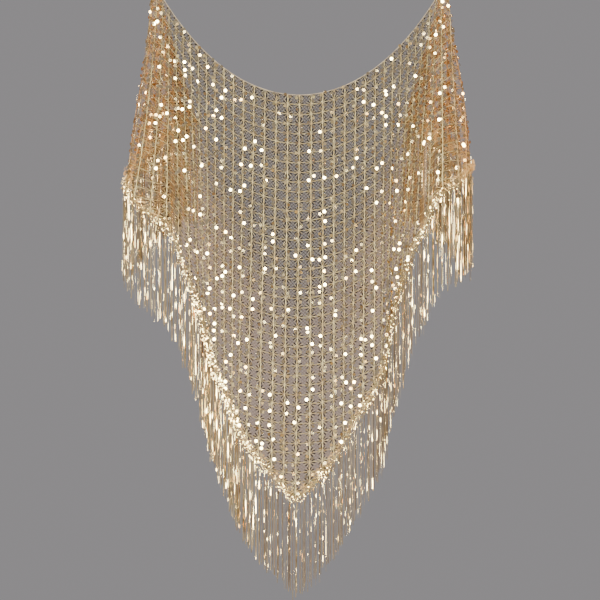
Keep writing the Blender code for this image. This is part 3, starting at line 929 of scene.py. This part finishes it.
def knots_tree():
    """Bits of foil where the fringe is knotted along the hem, on the base mesh's points"""
    tree, given, out = new_tree("knots", (
        ("Base", "Geometry", None),
        ("Each Root", "Int", 34),
        ("Size", "Float", 0.0018),
        ("Scatter", "Float", 0.0080),
        ("Lean", "Float", 0.26),
        ("Seed", "Int", 31),
        ("Finish", "Material", None),
    ))
    seed = given.outputs["Seed"]
    points = put(tree, "GeometryNodeMeshToPoints", {"Mesh": given.outputs["Base"]}).outputs[0]
    points = put(tree, "GeometryNodeDuplicateElements",
                 {"Geometry": points, "Amount": given.outputs["Each Root"]}, domain="POINT").outputs[0]
    shifts = [
        sum_of(tree, "MULTIPLY", random_between(tree, -1.0, 1.0, sum_of(tree, "ADD", seed, float(extra))),
               given.outputs["Scatter"])
        for extra in (1, 2, 3)
    ]
    shift = joined_vector(tree, shifts[0], sum_of(tree, "MULTIPLY", shifts[1], 0.5), shifts[2])
    points = put(tree, "GeometryNodeSetPosition", {"Geometry": points, "Offset": shift}).outputs[0]
    flake = put(tree, "GeometryNodeMeshCylinder", {"Vertices": 4, "Radius": 1.0, "Depth": 0.22},
                fill_type="NGON").outputs["Mesh"]
    flake = put(tree, "GeometryNodeSetShadeSmooth", {"Geometry": flake, "Shade Smooth": False}).outputs[0]
    calmer = sum_of(tree, "MULTIPLY_ADD", named(tree, "lively", "FLOAT"), -0.30, 1.0)
    lean = [
        sum_of(tree, "MULTIPLY", random_between(tree, -1.0, 1.0, sum_of(tree, "ADD", seed, float(extra))),
               sum_of(tree, "MULTIPLY", given.outputs["Lean"], calmer))
        for extra in (4, 5)
    ]
    lean = joined_vector(tree, lean[0], -1.0, lean[1])
    spin = random_between(tree, 0.0, 2.0 * math.pi, sum_of(tree, "ADD", seed, 6.0))
    spin = put(tree, "FunctionNodeAxisAngleToRotation", {"Axis": (0.0, 0.0, 1.0), "Angle": spin}).outputs[0]
    turn = put(tree, "FunctionNodeAlignRotationToVector", {"Rotation": spin, "Vector": lean}, axis="Z").outputs[0]
    here = put(tree, "GeometryNodeInputPosition").outputs[0]
    dense = put(tree, "ShaderNodeTexNoise", {"Vector": here, "Scale": 17.0, "Detail": 1.0}).outputs["Fac"]
    dense = put(tree, "ShaderNodeMapRange", {"Value": dense, "From Min": 0.36, "From Max": 0.62, "To Min": 0.45,
                                             "To Max": 1.35}).outputs[0]
    size = sum_of(tree, "MULTIPLY", given.outputs["Size"], dense)
    wide = sum_of(tree, "MULTIPLY", size, random_between(tree, 0.25, 0.6, sum_of(tree, "ADD", seed, 7.0)))
    tall = sum_of(tree, "MULTIPLY", size, random_between(tree, 0.6, 1.3, sum_of(tree, "ADD", seed, 8.0)))
    flakes = put(tree, "GeometryNodeInstanceOnPoints",
                 {"Points": points, "Instance": flake, "Rotation": turn,
                  "Scale": joined_vector(tree, wide, tall, size)}).outputs[0]
    real = put(tree, "GeometryNodeRealizeInstances", {"Geometry": flakes}).outputs[0]
    finish_tree(tree, given, out, real)
    return tree


def loops_tree():
    """Small loops of thread along the hem, through which the fringe is knotted"""
    tree, given, out = new_tree("loops", (
        ("Base", "Geometry", None),
        ("Each Root", "Int", 4),
        ("Radius", "Float", 0.0042),
        ("Thread", "Float", 0.00042),
        ("Scatter", "Float", 0.0045),
        ("Seed", "Int", 71),
        ("Finish", "Material", None),
    ))
    seed = given.outputs["Seed"]
    points = put(tree, "GeometryNodeMeshToPoints", {"Mesh": given.outputs["Base"]}).outputs[0]
    points = put(tree, "GeometryNodeDuplicateElements",
                 {"Geometry": points, "Amount": given.outputs["Each Root"]}, domain="POINT").outputs[0]
    shifts = [
        sum_of(tree, "MULTIPLY", random_between(tree, -1.0, 1.0, sum_of(tree, "ADD", seed, float(extra))),
               given.outputs["Scatter"])
        for extra in (1, 2, 3)
    ]
    shift = joined_vector(tree, shifts[0], sum_of(tree, "MULTIPLY", shifts[1], 0.5), shifts[2])
    points = put(tree, "GeometryNodeSetPosition", {"Geometry": points, "Offset": shift}).outputs[0]
    ring = put(tree, "GeometryNodeCurvePrimitiveCircle",
               {"Resolution": 9, "Radius": given.outputs["Radius"]}).outputs[0]
    turns = [
        random_between(tree, low, high, sum_of(tree, "ADD", seed, float(extra)))
        for extra, low, high in ((4, 0.9, 2.2), (5, -0.6, 0.6), (6, 0.0, 2.0 * math.pi))
    ]
    turn = put(tree, "FunctionNodeEulerToRotation", {"Euler": joined_vector(tree, turns[0], turns[1], 0.0)}).outputs[0]
    narrow = random_between(tree, 0.35, 0.9, sum_of(tree, "ADD", seed, 7.0))
    tall = random_between(tree, 0.6, 1.2, sum_of(tree, "ADD", seed, 8.0))
    loops = put(tree, "GeometryNodeInstanceOnPoints",
                {"Points": points, "Instance": ring, "Rotation": turn,
                 "Scale": joined_vector(tree, narrow, tall, 1.0)}).outputs[0]
    loops = put(tree, "GeometryNodeRealizeInstances", {"Geometry": loops}).outputs[0]
    profile = put(tree, "GeometryNodeCurvePrimitiveCircle",
                  {"Resolution": 3, "Radius": given.outputs["Thread"]}).outputs[0]
    tubes = put(tree, "GeometryNodeCurveToMesh", {"Curve": loops, "Profile Curve": profile}).outputs[0]
    finish_tree(tree, given, out, tubes)
    return tree


def strands_tree():
    """Foil strands that hang from the base mesh's points, wavy and slowly twisting"""
    tree, given, out = new_tree("strands", (
        ("Base", "Geometry", None),
        ("Each Root", "Int", STRANDS_A_KNOT),
        ("Length", "Float", FRINGE),
        ("Shortest", "Float", 0.87),
        ("Half Width", "Float", STRAND_SIZE[0]),
        ("Half Thickness", "Float", STRAND_SIZE[1]),
        ("Spread", "Float", 0.0042),
        ("Waviness", "Float", 0.0009),
        ("Twist", "Float", 1.25),
        ("Turned", "Float", 0.5),
        ("Points", "Int", 36),
        ("Seed", "Int", 51),
        ("Finish", "Material", None),
    ))
    seed = given.outputs["Seed"]
    points = put(tree, "GeometryNodeMeshToPoints", {"Mesh": given.outputs["Base"]}).outputs[0]
    points = put(tree, "GeometryNodeDuplicateElements",
                 {"Geometry": points, "Amount": given.outputs["Each Root"]}, domain="POINT").outputs[0]
    line = put(tree, "GeometryNodeCurvePrimitiveLine",
               {"Start": (0.0, 0.0, 0.0), "End": (0.0, 0.0, -1.0)}).outputs[0]
    line = put(tree, "GeometryNodeResampleCurve", {"Curve": line, "Count": given.outputs["Points"]},
               mode="COUNT").outputs[0]
    share = random_between(tree, given.outputs["Shortest"], 1.0, sum_of(tree, "ADD", seed, 1.0))
    fall = sum_of(tree, "MULTIPLY", share, given.outputs["Length"])
    strands = put(tree, "GeometryNodeInstanceOnPoints",
                  {"Points": points, "Instance": line, "Scale": joined_vector(tree, 1.0, 1.0, fall)}).outputs[0]
    for extra, name in ((2, "one"), (3, "two"), (4, "three")):
        drawn = random_between(tree, -1.0, 1.0, sum_of(tree, "ADD", seed, float(extra)))
        strands = put(tree, "GeometryNodeStoreNamedAttribute",
                      {"Geometry": strands, "Name": name, "Value": drawn}, data_type="FLOAT",
                      domain="INSTANCE").outputs[0]
    strands = put(tree, "GeometryNodeRealizeInstances", {"Geometry": strands}).outputs[0]
    one, two, three = (named(tree, name, "FLOAT") for name in ("one", "two", "three"))
    down = put(tree, "GeometryNodeSplineParameter").outputs["Length"]
    part = put(tree, "GeometryNodeSplineParameter").outputs["Factor"]
    opened = put(tree, "ShaderNodeMapRange", {"Value": down, "From Max": 0.03}, interpolation_type="SMOOTHSTEP").outputs[0]
    reach = sum_of(tree, "MULTIPLY", opened, given.outputs["Spread"])
    apart = joined_vector(tree, sum_of(tree, "MULTIPLY", one, reach), sum_of(tree, "MULTIPLY", two, reach))
    along = joined_vector(tree, sum_of(tree, "MULTIPLY", three, 40.0), sum_of(tree, "MULTIPLY", one, 40.0), down)
    noise = put(tree, "ShaderNodeTexNoise", {"Vector": along, "Scale": 14.0, "Detail": 1.0}).outputs["Color"]
    centred = vector_sum(tree, "MULTIPLY", vector_sum(tree, "SUBTRACT", noise, (0.5, 0.5, 0.5)), (2.0, 2.0, 0.0))
    sway = sum_of(tree, "MULTIPLY", sum_of(tree, "POWER", part, 0.6), given.outputs["Waviness"])
    offset = vector_sum(tree, "ADD", apart, scaled(tree, centred, sway))
    strands = put(tree, "GeometryNodeSetPosition", {"Geometry": strands, "Offset": offset}).outputs[0]
    calmer = sum_of(tree, "MULTIPLY_ADD", named(tree, "lively", "FLOAT"), -0.45, 1.0)
    first_turn = sum_of(tree, "MULTIPLY", given.outputs["Turned"], sum_of(tree, "MULTIPLY", calmer, math.pi))
    slow = put(tree, "ShaderNodeTexNoise", {"Vector": along, "Scale": 13.0, "Detail": 0.0}).outputs["Fac"]
    twist = sum_of(tree, "MULTIPLY", sum_of(tree, "SUBTRACT", slow, 0.5), given.outputs["Twist"])
    twist = sum_of(tree, "MULTIPLY", twist, calmer)
    twist = sum_of(tree, "ADD", twist, sum_of(tree, "MULTIPLY", two, first_turn))
    strands = put(tree, "GeometryNodeSetCurveNormal", {"Curve": strands}, mode="MINIMUM_TWIST").outputs[0]
    strands = put(tree, "GeometryNodeSetCurveTilt", {"Curve": strands, "Tilt": twist}).outputs[0]
    size = joined_vector(tree, given.outputs["Half Width"], given.outputs["Half Thickness"], 1.0)
    band = put(tree, "GeometryNodeCurvePrimitiveQuadrilateral", {"Width": 2.0, "Height": 2.0}).outputs[0]
    band = put(tree, "GeometryNodeTransform", {"Geometry": band, "Scale": size}).outputs[0]
    tubes = put(tree, "GeometryNodeCurveToMesh",
                {"Curve": strands, "Profile Curve": band, "Fill Caps": True}).outputs[0]
    angle = put(tree, "GeometryNodeInputMeshEdgeAngle").outputs["Unsigned Angle"]
    sharp = sum_of(tree, "GREATER_THAN", angle, 0.8)
    tubes = put(tree, "GeometryNodeSetShadeSmooth",
                {"Geometry": tubes, "Selection": sharp, "Shade Smooth": False}, domain="EDGE").outputs[0]
    finish_tree(tree, given, out, tubes)
    return tree


def hem_roots(side):
    """A mesh of loose points where the fringe is knotted into the hem"""
    corner = HELD_AT * math.sqrt(2.0)
    front, end = KNOT_SPACING
    hem = np.concatenate([np.arange(0.5 * front, corner, front), np.arange(corner + 0.5 * end, HALF_HEM, end)])
    places = hang(side, hem, np.ones(len(hem)))
    mesh = bpy.data.meshes.new("roots_" + side)
    mesh.from_pydata(places.tolist(), [], [])
    across = (hem / math.sqrt(2.0)).astype(np.float32)
    mesh.attributes.new("across", "FLOAT", "POINT").data.foreach_set("value", across)
    out = np.abs(places[:, 0])
    first, full, fade, last = LIVELY[side]
    front = ease((out - first) / (full - first)) * ease((last - out) / (last - fade)) * LIVELY_SHARE[side]
    lively = np.maximum(front, ENDS_LIVELY[side] * ease((out - SEEN_FRINGE[0] + 0.012) / 0.03)).astype(np.float32)
    mesh.attributes.new("lively", "FLOAT", "POINT").data.foreach_set("value", lively)
    return mesh


def make_cord(name, path, radius, finish):
    """A fine cord along a path, twisted from two plies"""
    turns = lengths(path) / 0.006 * 2.0 * math.pi
    plies = []
    curve = bpy.data.curves.new(name, "CURVE")
    curve.dimensions = "3D"
    curve.bevel_depth = radius * 0.62
    curve.bevel_resolution = 0
    curve.use_fill_caps = True
    for ply in (0.0, math.pi):
        spline = curve.splines.new("POLY")
        spline.points.add(len(path) - 1)
        for point, place, turn in zip(spline.points, path, turns):
            reach = radius * 0.5
            point.co = (place[0], place[1] + reach * math.cos(turn + ply), place[2] + reach * math.sin(turn + ply), 1.0)
    holder = bpy.data.objects.new(name + "_curve", curve)
    bpy.context.scene.collection.objects.link(holder)
    graph = bpy.context.evaluated_depsgraph_get()
    mesh = bpy.data.meshes.new_from_object(holder.evaluated_get(graph))
    bpy.data.objects.remove(holder)
    mesh.materials.clear()
    mesh.materials.append(finish)
    mesh.shade_smooth()
    mesh.name = name
    made = bpy.data.objects.new(name, mesh)
    bpy.context.scene.collection.objects.link(made)
    return made


def row_path(share_of, step):
    """A line over the whole width of the cloth at a share of its fall, in even steps"""
    half = np.linspace(0.0, HALF_HEM, 1600)
    share = share_of(half)
    left, right = (hang(side, half, share) for side in ("left", "right"))
    whole = np.concatenate([left[:0:-1], right])
    run = lengths(whole)
    at = np.linspace(0.0, run[-1], int(run[-1] / step) + 1)
    return np.stack([np.interp(at, run, whole[:, i]) for i in range(3)], axis=1)


# The camera, as the photo was taken
VIEW_WIDTH = 1.11        # seen at the shawl
LENS = 130.0
SENSOR = 36.0
VIEW_CENTRE = (0.0009, -0.582)
FLOOR = -1.60
BACKDROP = (0.276, 0.266, 0.274)


def make_camera():
    """A long lens, level with the middle of the picture"""
    lens = bpy.data.cameras.new("camera")
    lens.lens = LENS
    lens.sensor_width = SENSOR
    camera = bpy.data.objects.new("camera", lens)
    bpy.context.scene.collection.objects.link(camera)
    across, height = VIEW_CENTRE
    camera.location = (across, -VIEW_WIDTH * LENS / SENSOR, height)
    camera.rotation_euler = (math.pi / 2.0, 0.0, 0.0)
    bpy.context.scene.camera = camera


# Soft boxes round the shawl. Columns: azimuth and elevation of the box seen from the shawl in
# degrees, its distance, width and height in metres, and how bright its face is.
SOFT_BOXES = (
    (0.0, -2.0, 4.6, 0.41, 1.8, 46.0),
    (-27.0, -1.5, 4.6, 0.58, 2.1, 47.0),
    (29.0, -1.0, 4.6, 0.37, 2.0, 46.0),
    (78.0, 4.0, 4.6, 0.24, 1.8, 38.0),
    (-78.0, 4.0, 4.6, 0.24, 1.8, 38.0),
    (140.0, 2.0, 4.6, 0.40, 1.9, 32.0),
    (180.0, 0.0, 4.6, 0.46, 1.9, 32.0),
    (220.0, 2.0, 4.6, 0.40, 1.9, 32.0),
)


def make_lights():
    """Soft boxes all round, so that sequins and foil catch light from any side"""
    aim = Vector((0.0, 0.0, VIEW_CENTRE[1]))
    for number, (azimuth, elevation, distance, width, height, bright) in enumerate(SOFT_BOXES):
        turn, rise = math.radians(azimuth), math.radians(elevation)
        away = Vector((math.sin(turn) * math.cos(rise), -math.cos(turn) * math.cos(rise), math.sin(rise)))
        box = bpy.data.lights.new(f"soft_box_{number}", "AREA")
        box.shape = "RECTANGLE"
        box.size, box.size_y = width, height
        box.energy = bright * math.pi * width * height
        box.color = (1.0, 0.945, 0.64)
        lamp = bpy.data.objects.new(f"soft_box_{number}", box)
        lamp.location = aim + away * distance
        lamp.rotation_euler = (-away).to_track_quat("-Z", "Y").to_euler()
        lamp.visible_camera = False
        bpy.context.scene.collection.objects.link(lamp)


def make_surroundings():
    """A plain grey studio with a plain pale floor"""
    world = bpy.data.worlds.new("studio")
    world.use_nodes = True
    background = world.node_tree.nodes["Background"]
    background.inputs["Color"].default_value = (*BACKDROP, 1.0)
    bpy.context.scene.world = world
    bpy.ops.mesh.primitive_circle_add(vertices=96, radius=3.1, fill_type="NGON", location=(0.0, 0.0, FLOOR))
    floor = bpy.context.object
    floor.name = "floor"
    paint, _, shader = material("studio floor")
    shader.inputs["Base Color"].default_value = (0.36, 0.35, 0.34, 1.0)
    shader.inputs["Roughness"].default_value = 0.8
    floor.data.materials.append(paint)


make_camera()
make_lights()
make_surroundings()

metal_thread = metal_thread_group()
# In each thread finish below, the third colour is painted light and shade: inter-reflected light and shade painted
# inside the folded ends
gold_thread = thread_material(
    "gold thread", metal_thread, (0.79, 0.67, 0.41), (0.53, 0.37, 0.18), (0.77, 0.37, 0.14), 0.45, 0.38)
pale_spoke = thread_material(
    "pale spokes", metal_thread, (0.72, 0.62, 0.41), (0.48, 0.35, 0.19), (0.70, 0.33, 0.12), 0.3, 0.5)
dark_spoke = thread_material(
    "dark spokes", metal_thread, (0.022, 0.014, 0.009), (0.010, 0.006, 0.004), (0.36, 0.18, 0.07), 0.0, 0.7,
    ends=DARK_ENDS, share=0.25, shine=0.0)
foil = thread_material(
    "fringe foil", metal_thread, (0.94, 0.78, 0.48), (0.66, 0.48, 0.28), (0.30, 0.14, 0.055), 0.94, 0.05,
    depth=0.03, share=0.65, dull=0.40, worn=0.56)
flake_foil = thread_material(
    "hem foil", metal_thread, (0.95, 0.80, 0.46), (0.70, 0.50, 0.26), (0.50, 0.26, 0.11), 0.90, 0.08,
    depth=0.03, share=0.9, dull=0.40)
loop_thread = thread_material(
    "loop thread", metal_thread, (0.62, 0.44, 0.25), (0.28, 0.16, 0.07), (0.62, 0.31, 0.11), 0.4, 0.42)
cord_thread = thread_material(
    "cord thread", metal_thread, (0.74, 0.63, 0.56), (0.46, 0.355, 0.295), (0.74, 0.44, 0.24), 0.3, 0.45)
sequin_foil = sequin_material()

cloth = make_cloth(ground_material())
drape = drape_group()
shared = {"Cloth": cloth}
uprights = grown("upright_threads", threads_tree("upright threads", True, drape), {
    **shared, "Half Width": UPRIGHT_SIZE[0], "Half Thickness": UPRIGHT_SIZE[1], "Finish": gold_thread})
levels = grown("level_threads", threads_tree("level threads", False, drape), {
    **shared, "Half Width": LEVEL_SIZE[0], "Half Thickness": LEVEL_SIZE[1], "Finish": gold_thread})
stars = stars_tree(drape)
pale_stars = grown("pale_spokes", stars, {**shared, "Finish": pale_spoke})
dark_stars = grown("dark_spokes", stars, {
    **shared, "Finish": dark_spoke, "First Turn": math.pi / SPOKES, "Inner End": DARK_SPOKE[0],
    "Outer End": DARK_SPOKE[1], "Half Width": DARK_SPOKE[2], "Half Thickness": 0.00012, "Lift": 0.00024,
    "Shrink In Ends": 0.25})
sequins = grown("sequins", sequins_tree(), {**shared, "Finish": sequin_foil})
edge_cord = make_cord("edge_cord", row_path(first_share, 0.0012), 0.0008, cord_thread)
hem_cord = make_cord("hem_cord", row_path(lambda hem: np.ones_like(hem), 0.0015), 0.0012, gold_thread)

trims = [uprights, levels, pale_stars, dark_stars, sequins, edge_cord, hem_cord]
knots, loops, strands = knots_tree(), loops_tree(), strands_tree()
for side in SIDES:
    trims.append(grown("loops_" + side, loops, {"Finish": loop_thread, "Seed": 71 + len(side)}, hem_roots(side)))
    trims.append(grown("knots_" + side, knots, {"Finish": flake_foil, "Seed": 31 + len(side), "Lean": HEM_LEAN[side]}, hem_roots(side)))
    hung = grown("strands_" + side, strands, {"Finish": foil, "Seed": 51 + len(side), "Turned": STRANDS_TURNED[side]}, hem_roots(side))
    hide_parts("fringe_" + side)
    trims.append(hung)

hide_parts("net")
for piece in [cloth] + trims:
    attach(piece, "root")

for piece in [cloth] + trims:
    print("piece", piece.name, sum(len(face.vertices) - 2 for face in piece.data.polygons), "triangles")
